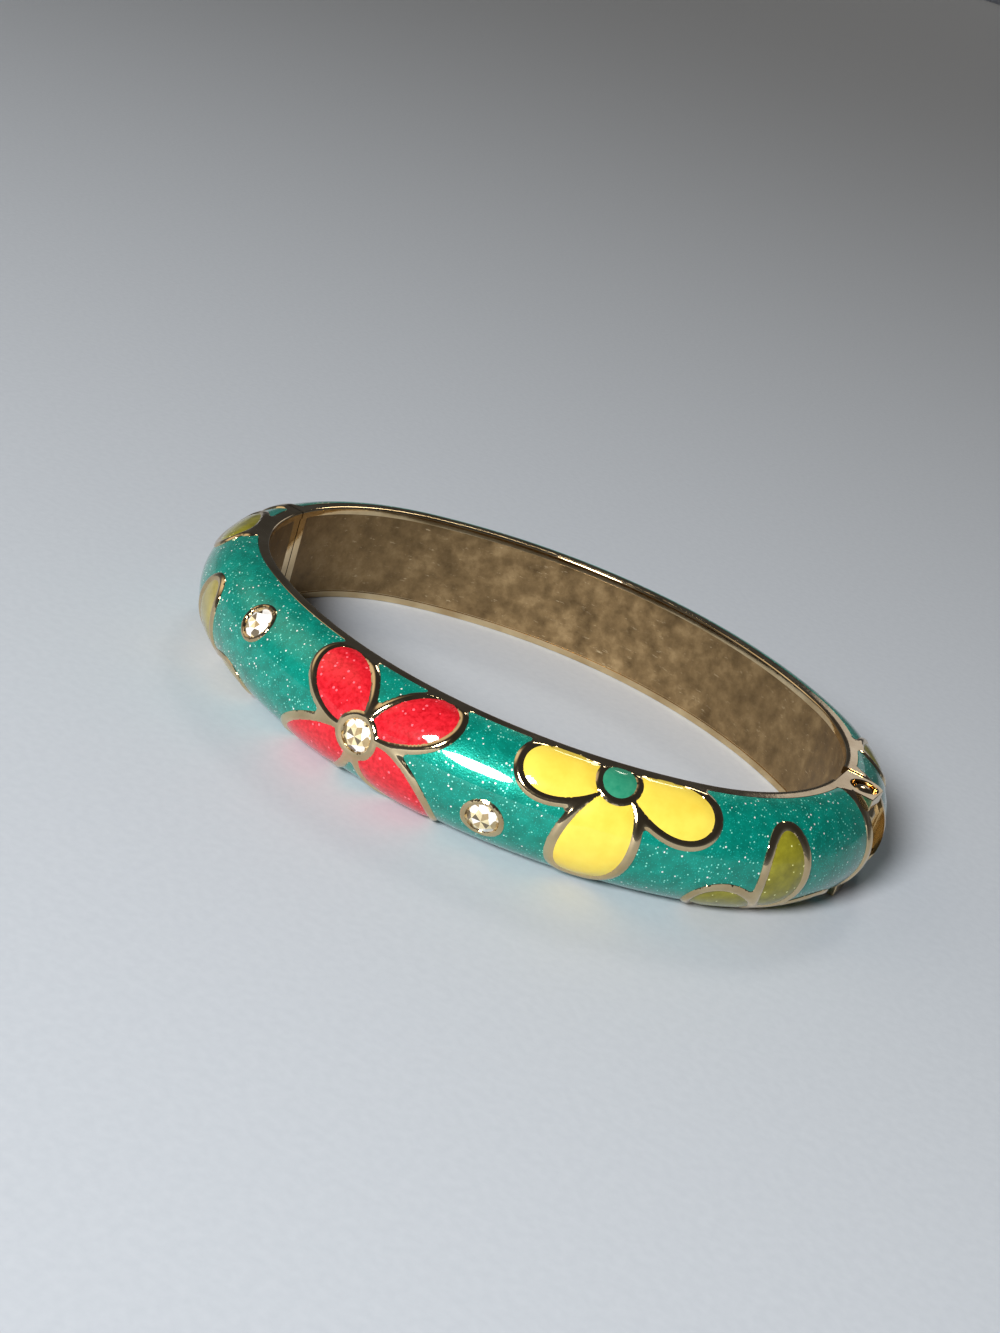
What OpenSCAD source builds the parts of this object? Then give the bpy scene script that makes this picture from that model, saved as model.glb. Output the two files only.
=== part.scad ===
// Hinged enamel bangle lying on its side: an oval D-shaped band in two halves,
// joined by a pinned hinge at +X and closed by a plain tongue at -X.
// The floor is z = 0, the axis of the oval is Z and the front half faces -Y.
//
// Flowers and stones are placed on the band as on a flat pattern. s is measured
// along the crest of the band in millimetres, 0 at the middle of the front and
// growing towards the hinge. v is measured across the dome from the crest, upwards.

/* [Band] */
// Half of the opening's long way
inner_half_length = 30; // [28:0.5:32]
// Half of the opening's short way
inner_half_depth = 22; // [21:0.5:24]
// Radius of the oval's two ends, inside
end_radius = 18; // [17:0.5:19]
// Height of the band along the wrist
band_height = 10.5; // [10:0.1:11]
// Thickness of the band at its crest
band_thickness = 5.5; // [5.2:0.1:5.8]
// Width of the flat face on each edge of the band
rim_width = 0.9; // [0.8:0.05:1]
// Width of the metal lip that closes the enamel at each edge
lip_width = 1.15; // [1.1:0.05:1.3]
// Thickness of the cast wall under the enamel
wall = 0.9; // [0.8:0.05:1]

/* [Enamel and relief] */
// Depth of the enamel bed below the green surface
enamel_depth = 0.6; // [0.5:0.05:0.7]
// Height of the cast outlines above the green surface
relief = 0.25; // [0.15:0.05:0.3]
// Height of the petal enamel above the green surface
petal_rise = 0.14; // [0.05:0.01:0.2]
// Width of the cast outline round a petal
outline_width = 0.9; // [0.8:0.05:1]
// Gap between a piece and the metal that holds it
seat_gap = 0.05; // [0.03:0.01:0.06]

/* [Stones] */
// Radius of a crystal at its girdle
stone_radius = 1.42; // [1.3:0.02:1.5]
// Outer radius of a crystal's collet
collet_radius = 2; // [1.9:0.05:2.1]
// Height of a crystal, table to culet
stone_height = 1.3; // [1.1:0.05:1.4]

/* [Inner plates] */
// Thickness of the plate that closes the band inside
plate_thickness = 0.6; // [0.5:0.05:0.6]
// Depth of the plate below the inner wall
plate_sink = 0.12; // [0.1:0.01:0.15]
// Height of the plate
plate_height = 8.8; // [8.6:0.1:9]

/* [Hinge] */
// Distance of the pin behind the long axis
hinge_back = 1; // [0.8:0.1:1.2]
// Distance of the pin from the inner wall
pin_out = 2.6; // [2.5:0.05:2.7]
// Half of the gap between the two halves at the hinge
hinge_half_gap = 2; // [2:0.05:2.1]
// Radius of the pin
pin_radius = 0.8; // [0.75:0.01:0.85]
// Radius of the knuckles round the pin
knuckle_radius = 1.85; // [1.8:0.01:1.85]
// Height of the middle knuckle
knuckle_height = 7.7; // [7.5:0.1:7.8]
// Height of the ears' flat tops above the middle of the band
ear_top = 4.9; // [4.8:0.05:5]
// Reach of the ears beyond the pin's axis
ear_reach = 1.55; // [1.4:0.05:1.6]
// Depth of the recess for the pin's head
recess_depth = 0.4; // [0.35:0.05:0.45]
// Radius of the pin's domed head
head_radius = 1.1; // [1:0.05:1.15]
// Largest opening of the rear half in degrees
opening = 50; // [40:1:50]

/* [Clasp] */
// Length of the tongue outside its pocket
tongue_length = 4.5; // [4:0.1:5]
// Height of the tongue
tongue_height = 5; // [4.6:0.1:5.2]
// Thickness of the tongue
tongue_thickness = 0.8; // [0.7:0.05:0.9]
// Half of the gap between the two halves at the clasp
clasp_half_gap = 0.08; // [0.06:0.01:0.1]

/* [Hidden] */
$fn = 120;

// Oval of four tangent arcs: two ends and two sides
axis_gap = inner_half_length - end_radius;
side_radius = (pow(axis_gap, 2) + pow(inner_half_depth, 2) - pow(end_radius, 2))
  / (2 * (inner_half_depth - end_radius));
side_back = side_radius - inner_half_depth;
end_angle = atan2(side_back, axis_gap);
side_angle = 180 - 2 * end_angle;

// Dome of the band: one arc through the crest and both rim corners
dome_rise = band_thickness - rim_width;
dome_radius = (pow(dome_rise, 2) + pow(band_height / 2, 2)) / (2 * dome_rise);
dome_centre = band_thickness - dome_radius;

// Stretches of the crest: from the front middle to the arc's end, and round one end
side_stretch = (side_radius + band_thickness) * (side_angle / 2) * PI / 180;
end_stretch = 2 * (end_radius + band_thickness) * end_angle * PI / 180;

// Planes at which the two halves stop
front_stop = hinge_back - hinge_half_gap;
rear_stop = hinge_back + hinge_half_gap;
end_wall = 0.9;
pin_x = inner_half_length + pin_out;
head_ball = 1.75;
far = 60;
reach = 5;

// Flat pattern of the petals: columns of each row are named by these numbers
S = 0;
V = 1;
TURN = 2;
HALF_LENGTH = 3;
HALF_WIDTH = 4;
FULL = 5;
HEART = 6;
RED_HEART = [-3.7, 0.3];
YELLOW_HEART = [19.5, 5.75];
OLIVE_HEART = [36.8, -6.6];
MUSTARD_HEART = [-29.6, -6.7];
RED_PETALS = [
  [-7.4, 3.8, 143, 3.95, 2.4, 0.05, RED_HEART],
  [0.55, 3.85, 37, 3.95, 2.05, 0.3, RED_HEART],
  [-8.5, -3.4, 218, 4.85, 2.4, 0.25, RED_HEART],
  [0.56, -3.2, -47, 4.35, 2.6, 0.05, RED_HEART]
];
YELLOW_PETALS = [
  [14.8, 5.15, 186, 3.85, 2.25, 0.25, YELLOW_HEART],
  [18.85, 0.1, 257, 4.8, 2.7, 0.15, YELLOW_HEART],
  [24.45, 4.9, -16, 4.05, 2.3, 0.2, YELLOW_HEART]
];
OLIVE_PETALS = [
  [36.4, -0.1, 95, 4.2, 1.85, 0, OLIVE_HEART],
  [32.1, -4.4, 155, 3.3, 2.2, 0.1, OLIVE_HEART],
  [41.6, -5.2, 12, 3.2, 1.7, 0.1, OLIVE_HEART]
];
MUSTARD_PETALS = [
  [-29.25, -1.4, 90, 3.9, 1.95, 0.1, MUSTARD_HEART],
  [-24.2, -5.2, 18, 3.6, 1.8, 0.1, MUSTARD_HEART],
  [-34.9, -5.2, 162, 3.4, 1.8, 0.1, MUSTARD_HEART]
];
NO_HEART = [0, 90];
CLASP_LEAF = [-41.6, 4.7, 0, 4.2, 1.9, 0.15, NO_HEART];
HINGE_LEAF = [63.4, 3.6, 150, 4.2, 1.9, 0.15, NO_HEART];
FRONT_PETALS = concat(RED_PETALS, YELLOW_PETALS, OLIVE_PETALS, MUSTARD_PETALS, [CLASP_LEAF]);
CRYSTAL_LEFT = [-19.95, 3.15];
CRYSTAL_MIDDLE = [9.3, -1.6];
HEARTS = [YELLOW_HEART, OLIVE_HEART, MUSTARD_HEART];
// Round spots of metal that close the narrow corners between a heart and the rim
FILLETS = [
  [17.75, 6.95], [21.1, 6.95], [34.7, -7], [38.1, -4.6], [38.6, -7.1],
  [-37.3, 6.6], [-38.6, 6.95], [-31.2, -4.9]
];
fillet_radius = 1;
COLLETS = [CRYSTAL_LEFT, CRYSTAL_MIDDLE, RED_HEART];
// Places on the flat pattern where the green ground is parted by the red flower
NOTCH_FROM = -8.6;
NOTCH_TO = 0.6;
PETAL_POINTS = 28;

// Direction in which the band faces at s: -90 at the front middle, growing with s
function facing(s) =
  let (run = abs(s))
  let (a = run <= side_stretch
    ? -90 + run / (side_radius + band_thickness) * 180 / PI
    : run <= side_stretch + end_stretch
      ? -end_angle + (run - side_stretch) / (end_radius + band_thickness) * 180 / PI
      : end_angle + (run - side_stretch - end_stretch) / (side_radius + band_thickness) * 180 / PI)
  s >= 0 ? a : -180 - a;

// Centre and radius of the arc that the inner wall follows at s
function on_side(s) = abs(s) <= side_stretch || abs(s) > side_stretch + end_stretch;
function arc_radius(s) = on_side(s) ? side_radius : end_radius;
function arc_centre(s) = abs(s) <= side_stretch ? [0, side_back]
  : abs(s) > side_stretch + end_stretch ? [0, -side_back]
  : [sign(s) * axis_gap, 0];

// Slope of the dome at v, in degrees above the horizontal
function slope(v) = v / dome_radius * 180 / PI;

// A point of the green surface from its place on the flat pattern
function on_band(s, v) =
  let (a = facing(s))
  let (r = arc_radius(s) + dome_centre + dome_radius * cos(slope(v)))
  [arc_centre(s).x + r * cos(a), arc_centre(s).y + r * sin(a), dome_radius * sin(slope(v))];

// Egg-shaped outline of a petal on the flat pattern, grown evenly by grow
function petal_outline(petal, grow) = [
  for (i = [0 : PETAL_POINTS - 1])
    let (t = 360 * i / PETAL_POINTS)
    let (along = (petal[HALF_LENGTH] + grow) * cos(t))
    let (across = (petal[HALF_WIDTH] + grow) * sin(t) * (1 + petal[FULL] * cos(t)))
    [
      petal[S] + along * cos(petal[TURN]) - across * sin(petal[TURN]),
      petal[V] + along * sin(petal[TURN]) + across * cos(petal[TURN])
    ]
];

// The same outline seen straight down the normal at the petal's middle
function seen_from(place, outline) =
  let (a = facing(place[S]))
  let (b = slope(place[V]))
  let (down = [sin(b) * cos(a), sin(b) * sin(a), -cos(b)])
  let (ahead = [-sin(a), cos(a), 0])
  let (origin = on_band(place[S], place[V]))
  [for (p = outline) let (q = on_band(p.x, p.y) - origin) [q * down, q * ahead]];

// Puts children on the band at a place, with their Z along the outward normal
module at_place(place) {
  translate(on_band(place[S], place[V]))
    rotate([0, 90 - slope(place[V]), facing(place[S])])
      children();
}

// Straight plug with a petal's outline, through the band's outer wall
module petal_plug(petal, grow) {
  at_place(petal)
    translate([0, 0, -reach])
      linear_extrude(2 * reach)
        polygon(seen_from(petal, petal_outline(petal, grow)));
}

// Round plug at a place, from depth below the green surface to the height above it
module round_plug(place, radius, depth, height) {
  at_place(place)
    translate([0, 0, -depth])
      cylinder(r = radius, h = depth + height);
}

// Section of the dome, grown by grow, as x = distance from the inner wall, y = height
module dome_section(grow) {
  intersection() {
    translate([dome_centre, 0])
      circle(r = dome_radius + grow);
    translate([dome_centre, -band_height / 2])
      square([far, band_height]);
  }
}

// Section between two depths of the dome, outside the lips
module layer_section(low, high, from) {
  intersection() {
    difference() {
      translate([dome_centre, 0])
        circle(r = dome_radius + high);
      translate([dome_centre, 0])
        circle(r = dome_radius + low);
    }
    translate([from, -band_height / 2])
      square([far, band_height]);
  }
}

// Section of the whole band, solid from the inner wall to the green surface
module full_section() {
  dome_section(0);
  translate([0, -band_height / 2])
    square([lip_width, band_height]);
}

// Section of the hollow casting with its enamel bed and its seat for the plate
module shell_section() {
  difference() {
    union() {
      dome_section(-enamel_depth);
      translate([0, -band_height / 2])
        square([lip_width, band_height]);
    }
    intersection() {
      translate([dome_centre, 0])
        circle(r = dome_radius - enamel_depth - wall);
      translate([plate_sink, -far / 2])
        square([far, far]);
    }
    translate([-1, -plate_height / 2 - seat_gap])
      square([1 + plate_sink + plate_thickness + seat_gap, plate_height + 2 * seat_gap]);
  }
}

// Sweeps a section round the front half, or mirrored round the rear half
module sweep_half(rear) {
  mirror([0, rear ? 1 : 0, 0]) {
    translate([0, side_back, 0])
      rotate([0, 0, -90 - side_angle / 2])
        rotate_extrude(angle = side_angle)
          translate([side_radius, 0])
            children();
    for (m = [0, 1])
      mirror([m, 0, 0])
        translate([axis_gap, 0, 0])
          rotate([0, 0, -end_angle])
            rotate_extrude(angle = end_angle + 15)
              translate([end_radius, 0])
                children();
  }
}

// Room of the front half between its two stops, drawn in by set back
module front_room(back) {
  translate([0, -far, -far / 2])
    cube([far, far + front_stop - back, far]);
  translate([-far, -far, -far / 2])
    cube([far, far - clasp_half_gap - back, far]);
}

// Room of the rear half between its two stops, drawn in by set back
module rear_room(back) {
  translate([0, rear_stop + back, -far / 2])
    cube([far, far, far]);
  translate([-far, clasp_half_gap + back, -far / 2])
    cube([far, far, far]);
}

// A half casting: hollow between closed end walls
module casting(rear) {
  intersection() {
    sweep_half(rear)
      shell_section();
    half_room(rear, end_wall - 0.1);
  }
  intersection() {
    sweep_half(rear)
      full_section();
    half_room(rear, 0);
    end_slabs(rear);
  }
}

module half_room(rear, back) {
  if (rear)
    rear_room(back);
  else
    front_room(back);
}

// The two slices in which a half is solid, one at the hinge and one at the clasp
module end_slabs(rear) {
  side = rear ? 1 : -1;
  hinge_y = rear ? rear_stop : front_stop;
  translate([0, min(hinge_y, hinge_y + side * end_wall), -far / 2])
    cube([far, end_wall, far]);
  translate([-far, min(side * clasp_half_gap, side * (clasp_half_gap + end_wall)), -far / 2])
    cube([far, end_wall, far]);
}

// Cast outlines of the petals, their hearts and the collets, before they are soldered on
module relief_work(petals, hearts, rear) {
  intersection() {
    sweep_half(rear)
      layer_section(-enamel_depth - 0.1, relief, rim_width);
    half_room(rear, 0);
    difference() {
      union() {
        for (petal = petals)
          petal_plug(petal, outline_width);
        for (heart = hearts)
          round_plug(heart, collet_radius, reach, reach);
        if (!rear)
          for (spot = FILLETS)
            round_plug(spot, fillet_radius, reach, reach);
      }
      for (petal = petals)
        petal_pocket(petal);
      if (!rear)
        round_plug(YELLOW_HEART, stone_radius + seat_gap, reach, reach);
    }
  }
}

// Space for a petal's enamel: its outline, clear of the flower's heart
module petal_pocket(petal) {
  difference() {
    petal_plug(petal, 0);
    round_plug(petal[HEART], collet_radius + 0.25, reach, reach);
  }
}

module outer_frame() {
  translate([0, 0, band_height / 2])
    children();
}

// Metal of the front half: casting, outlines, collets and the two hinge ears
module front_shell() color("goldenrod") outer_frame() {
  difference() {
    union() {
      casting(false);
      relief_work(FRONT_PETALS, concat(HEARTS, COLLETS), false);
      ears();
    }
    for (place = COLLETS)
      round_plug(place, stone_radius + seat_gap, stone_height - relief + seat_gap, reach);
    tongue_slot();
  }
}

// Metal of the rear half: casting, one leaf's outline and the middle knuckle
module rear_shell() color("goldenrod") outer_frame() {
  difference() {
    union() {
      casting(true);
      relief_work([HINGE_LEAF], [], true);
      knuckle();
    }
    tongue_pocket();
  }
}

// Solid band between two heights, for the hinge parts
module hinge_block(low, high, trim) {
  intersection() {
    translate([axis_gap, 0, 0])
      rotate([0, 0, -15])
        rotate_extrude(angle = 30)
          translate([end_radius, 0])
            intersection() {
              translate([trim, 0])
                full_section();
              dome_section(-trim);
            }
    translate([0, -far / 2, low])
      cube([far, far, high - low]);
  }
}

// Plan of a knuckle round the pin: square inside, rounded outside for the opening.
// side is 1 where the knuckle grows from the front half and -1 from the rear half.
module knuckle_plan(side) {
  tip = [knuckle_radius * sin(opening), knuckle_radius * cos(opening)];
  run = (tip.y + hinge_half_gap) / sin(opening);
  foot = tip + run * [cos(opening), -sin(opening)];
  translate([pin_x, hinge_back])
    mirror([0, side > 0 ? 0 : 1]) {
      circle(r = knuckle_radius);
      translate([-far, -hinge_half_gap - end_wall / 2])
        square([far, hinge_half_gap + end_wall / 2 + knuckle_radius]);
      translate([0, -hinge_half_gap - end_wall / 2])
        square([foot.x, end_wall / 2]);
      polygon([[0, -hinge_half_gap], [0, 0], tip, foot]);
    }
}

// Two flat ears on the front half, the upper one countersunk for the pin's head
module ears() {
  for (m = [0, 1])
    mirror([0, 0, m])
      difference() {
        intersection() {
          union() {
            hinge_block(knuckle_height / 2 + 0.1, ear_top, 0.25);
            translate([inner_half_length + 0.25, front_stop - 0.05, knuckle_height / 2 + 0.1])
              cube([pin_out + ear_reach - 0.25, 2 * far, ear_top - knuckle_height / 2 - 0.1]);
          }
          linear_extrude(far)
            knuckle_plan(1);
        }
        translate([pin_x, hinge_back, 0])
          cylinder(r = pin_radius + seat_gap, h = far);
        translate([pin_x, hinge_back, ear_top - recess_depth])
          cylinder(r = head_radius + 0.2, h = far);
      }
}

// Middle knuckle on the rear half
module knuckle() {
  difference() {
    intersection() {
      hinge_block(-knuckle_height / 2, knuckle_height / 2, 0.2);
      translate([0, 0, -far / 2])
        linear_extrude(far)
          knuckle_plan(-1);
    }
    translate([pin_x, hinge_back, -far / 2])
      cylinder(r = pin_radius + seat_gap, h = far);
  }
}

// Hinge pin with a low domed head in the upper countersink
module hinge_pin() color("gold") outer_frame()
  translate([pin_x, hinge_back, 0]) {
    translate([0, 0, -ear_top + 0.1])
      cylinder(r = pin_radius, h = 2 * ear_top - 0.1 - recess_depth + 0.1);
    intersection() {
      translate([0, 0, ear_top - 0.02 - head_ball])
        sphere(r = head_ball);
      translate([0, 0, ear_top - recess_depth + 0.02])
        cylinder(r = head_radius, h = 1);
    }
  }

// Middle of the tongue at the clasp
tongue_x = -(inner_half_length + pin_out - 0.4);
module tongue_box(grow, from, to) {
  translate([tongue_x - tongue_thickness / 2 - grow, from, -tongue_height / 2 - grow])
    cube([tongue_thickness + 2 * grow, to - from, tongue_height + 2 * grow]);
}
module tongue_slot() tongue_box(0.35, -3, 0);
module tongue_pocket() tongue_box(seat_gap, 0, 3);

// Plain tongue that closes the bangle, held in the rear half
module clasp_tongue() color("gold") outer_frame()
  tongue_box(0, -tongue_length, clasp_half_gap + end_wall - 0.1);

// Plate that closes a half inside
module inner_plate(rear) {
  outer_frame()
    intersection() {
      sweep_half(rear)
        translate([plate_sink, -plate_height / 2])
          square([plate_thickness, plate_height]);
      half_room(rear, end_wall + 0.15);
    }
}
module front_inner_plate() color("darkkhaki") inner_plate(false);
module rear_inner_plate() color("darkkhaki") inner_plate(true);

// Part of the band between two places on the flat pattern, between two heights
module stretch(from, to, low, high) {
  centre = arc_centre(from);
  translate([centre.x, centre.y, low])
    linear_extrude(high - low)
      polygon(concat([[0, 0]], [
        for (i = [0 : 12])
          let (a = facing(from) + (facing(to) - facing(from)) * i / 12)
          far * [cos(a), sin(a)]
      ]));
}

// Green enamel of a half, with everything cast into it left out
module ground(petals, hearts, rear) {
  difference() {
    intersection() {
      sweep_half(rear)
        layer_section(seat_gap - enamel_depth, 0, lip_width + seat_gap);
      half_room(rear, end_wall + seat_gap);
    }
    for (petal = petals)
      petal_plug(petal, outline_width + seat_gap);
    for (heart = hearts)
      round_plug(heart, collet_radius + seat_gap, reach, reach);
    if (!rear)
      for (spot = FILLETS)
        round_plug(spot, fillet_radius + seat_gap, reach, reach);
  }
}

// Green cells of the front half
module front_ground() {
  outer_frame()
    intersection() {
      ground(FRONT_PETALS, concat(HEARTS, COLLETS), false);
      children();
    }
}
module green_ground_left() color("teal") front_ground()
  difference() {
    everywhere();
    notch_room();
    wedge_room();
    stretch(RED_HEART[S], side_stretch, -far, far);
    translate([0, -far, -far])
      cube([far, 2 * far, 2 * far]);
  }
module green_ground_right() color("teal") front_ground()
  difference() {
    everywhere();
    notch_room();
    wedge_room();
    stretch(-side_stretch, RED_HEART[S], -far, far);
    translate([-far - axis_gap, -far, -far])
      cube([far, 2 * far, 2 * far]);
  }
module green_ground_notch() color("teal") front_ground() notch_room();
module green_ground_wedge() color("teal") front_ground() wedge_room();
module everywhere() {
  translate([-far, -far, -far])
    cube([2 * far, 2 * far, 2 * far]);
}
module notch_room() {
  stretch(NOTCH_FROM, NOTCH_TO, 2, far);
}
module wedge_room() {
  stretch(NOTCH_FROM, NOTCH_TO, -far, -1.6);
}
module green_ground_rear() color("teal") outer_frame()
  ground([HINGE_LEAF], [], true);

// Enamel of one petal
module petal_enamel(petal, rear) {
  outer_frame()
    intersection() {
      sweep_half(rear)
        layer_section(seat_gap - enamel_depth, petal_rise, lip_width + seat_gap);
      difference() {
        petal_plug(petal, -seat_gap);
        round_plug(petal[HEART], collet_radius + 0.25 + seat_gap, reach, reach);
      }
    }
}
module green_centre() color("mediumseagreen") outer_frame()
  intersection() {
    sweep_half(false)
      layer_section(seat_gap - enamel_depth, petal_rise, lip_width + seat_gap);
    round_plug(YELLOW_HEART, stone_radius, reach, reach);
  }

// Round crystal with eight crown facets, a table and a pointed back
module crystal(place) {
  girdle = 0.12;
  crown = 0.42;
  back = stone_height - girdle - crown;
  outer_frame()
    at_place(place)
      translate([0, 0, relief - 0.02 - crown]) {
        cylinder(r1 = stone_radius, r2 = stone_radius * 0.58, h = crown, $fn = 8);
        translate([0, 0, -girdle])
          cylinder(r = stone_radius, h = girdle, $fn = 8);
        translate([0, 0, -girdle - back])
          cylinder(r1 = stone_radius * 0.08, r2 = stone_radius, h = back, $fn = 8);
      }
}

front_shell();
rear_shell();
front_inner_plate();
rear_inner_plate();
green_ground_left();
green_ground_right();
green_ground_notch();
green_ground_wedge();
green_ground_rear();
for (i = [0 : 3])
  color("crimson") petal_enamel(RED_PETALS[i], false);
for (i = [0 : 2])
  color("khaki") petal_enamel(YELLOW_PETALS[i], false);
for (i = [0 : 2])
  color("olive") petal_enamel(OLIVE_PETALS[i], false);
for (i = [0 : 2])
  color("darkkhaki") petal_enamel(MUSTARD_PETALS[i], false);
color("olive") petal_enamel(CLASP_LEAF, false);  // clasp_leaf
color("olive") petal_enamel(HINGE_LEAF, true);  // hinge_leaf
green_centre();
color("white") crystal(CRYSTAL_LEFT);  // crystal_left
color("white") crystal(CRYSTAL_MIDDLE);  // crystal_middle
color("white") crystal(RED_HEART);  // crystal_flower
hinge_pin();
clasp_tongue();
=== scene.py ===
# %% [markdown]
# # A hinged enamel bangle
# The real bangle is a hollow cast band in two halves, plated gold, with
# glass-like enamel poured into cells between raised metal outlines. The CAD
# model gives every size. Here each visible piece is modelled again, with the
# soft edges, the crowned enamel and the polish that make it look cast.

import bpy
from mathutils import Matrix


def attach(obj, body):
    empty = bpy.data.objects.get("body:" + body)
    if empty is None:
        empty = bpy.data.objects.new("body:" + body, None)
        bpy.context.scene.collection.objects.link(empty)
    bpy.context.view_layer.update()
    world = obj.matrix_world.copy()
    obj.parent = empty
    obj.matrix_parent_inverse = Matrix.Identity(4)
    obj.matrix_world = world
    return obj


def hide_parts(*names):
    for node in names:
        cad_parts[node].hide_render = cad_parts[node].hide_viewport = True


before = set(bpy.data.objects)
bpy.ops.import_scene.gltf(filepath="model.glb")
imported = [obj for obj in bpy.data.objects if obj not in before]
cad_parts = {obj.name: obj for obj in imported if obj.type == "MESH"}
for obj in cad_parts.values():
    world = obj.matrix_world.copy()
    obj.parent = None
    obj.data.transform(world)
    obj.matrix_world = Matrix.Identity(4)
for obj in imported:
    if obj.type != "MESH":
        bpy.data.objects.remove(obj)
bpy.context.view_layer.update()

# %% [markdown]
# ## Camera
# The photograph looks down on the decorated half from a little to the right,
# and the camera is tilted over sideways. So the camera is placed first, turned
# towards the band, and then rolled round its own line of sight.

# %% Place the camera
import math
import bpy
from mathutils import Matrix, Quaternion, Vector

MM = 0.001
camera_data = bpy.data.cameras.new("photo_camera")
camera_data.sensor_width = 36.0
camera_data.lens = 51.31
camera_data.clip_start = 0.005
camera_data.clip_end = 100.0
camera = bpy.data.objects.new("photo_camera", camera_data)
bpy.context.scene.collection.objects.link(camera)
looking = Vector((-0.3525, 0.8536, -0.3835))
camera.location = Vector((60.92, -158.05, 76.11)) * MM
camera.rotation_mode = "QUATERNION"
roll = Quaternion((0.0, 0.0, 1.0), math.radians(17.9))
camera.rotation_quaternion = looking.to_track_quat("-Z", "Y") @ roll
bpy.context.scene.camera = camera
bpy.context.scene.view_settings.view_transform = "Standard"
print("camera at", tuple(round(c, 4) for c in camera.location))

# %% [markdown]
# ## The band's shape
# The opening is an oval of four arcs that meet smoothly: two ends and two
# sides. Across the band the outside is one arc too, a D on its side. Flowers
# are laid out on a flat pattern, with s along the crest from the middle of the
# front and v across the dome, so a helper turns a place on the pattern into a
# point on the band, and another turns a point back into its place. These sizes
# are in millimetres, and MIDDLE is half the band's height.

# %% Define the oval, the dome and the flat pattern
MIDDLE = 5.25
END_RADIUS, SIDE_RADIUS = 18.0, 38.0
AXIS_GAP, SIDE_BACK = 12.0, 16.0
END_ANGLE = math.atan2(SIDE_BACK, AXIS_GAP)
SIDE_HALF = math.pi / 2 - END_ANGLE
THICK, DOME_RISE = 5.5, 4.6
DOME_RADIUS = (DOME_RISE ** 2 + MIDDLE ** 2) / (2 * DOME_RISE)
DOME_CENTRE = THICK - DOME_RADIUS
SIDE_RUN = (SIDE_RADIUS + THICK) * SIDE_HALF
END_RUN = 2 * (END_RADIUS + THICK) * END_ANGLE
PIN_X, PIN_Y = 32.6, 1.0


def arc_at(s):
    """Centre, radius and facing angle of the inner wall's arc at s."""
    run = abs(s)
    if run <= SIDE_RUN:
        centre, radius = (0.0, SIDE_BACK), SIDE_RADIUS
        turn = -math.pi / 2 + run / (SIDE_RADIUS + THICK)
    elif run <= SIDE_RUN + END_RUN:
        centre, radius = (AXIS_GAP, 0.0), END_RADIUS
        turn = -END_ANGLE + (run - SIDE_RUN) / (END_RADIUS + THICK)
    else:
        centre, radius = (0.0, -SIDE_BACK), SIDE_RADIUS
        turn = END_ANGLE + (run - SIDE_RUN - END_RUN) / (SIDE_RADIUS + THICK)
    if s < 0:
        centre, turn = (-centre[0], centre[1]), math.pi - turn
    return centre, radius, turn


def on_band(s, v, height):
    """Point at a place on the pattern, height millimetres above the enamel."""
    centre, radius, turn = arc_at(s)
    tilt = v / DOME_RADIUS
    out = radius + DOME_CENTRE + (DOME_RADIUS + height) * math.cos(tilt)
    up = (DOME_RADIUS + height) * math.sin(tilt)
    up = max(-MIDDLE, min(MIDDLE, up))
    return Vector((
        centre[0] + out * math.cos(turn),
        centre[1] + out * math.sin(turn),
        MIDDLE + up,
    ))


def to_pattern(point):
    """Place (s, v) and height of a point near the outside of the band."""
    x, y, up = abs(point.x), point.y, point.z - MIDDLE
    flip = 1.0 if y <= 0 else -1.0
    turn = math.atan2(y * flip - SIDE_BACK, x)
    if turn > -math.pi / 2 + SIDE_HALF:
        turn = math.atan2(y * flip, x - AXIS_GAP)
        out = math.hypot(x - AXIS_GAP, y) - END_RADIUS
        run = SIDE_RUN + (turn + END_ANGLE) * (END_RADIUS + THICK)
    else:
        out = math.hypot(x, y * flip - SIDE_BACK) - SIDE_RADIUS
        run = (turn + math.pi / 2) * (SIDE_RADIUS + THICK)
    if flip < 0:
        run = 2 * SIDE_RUN + END_RUN - run
    tilt = math.atan2(up, out - DOME_CENTRE)
    height = math.hypot(up, out - DOME_CENTRE) - DOME_RADIUS
    return math.copysign(run, point.x), tilt * DOME_RADIUS, height


print("half way round the crest:", round(2 * SIDE_RUN + END_RUN, 1), "mm")

# %% [markdown]
# ## The flat pattern
# Every petal is an egg: place, direction, half length, half width and how much
# fuller its outer end is, with the flower's heart that its inner end is cut
# round. These are the same numbers as in the part's own source. The fillets are
# small dots of metal that fill the sharp corners between outlines and rims.

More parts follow.
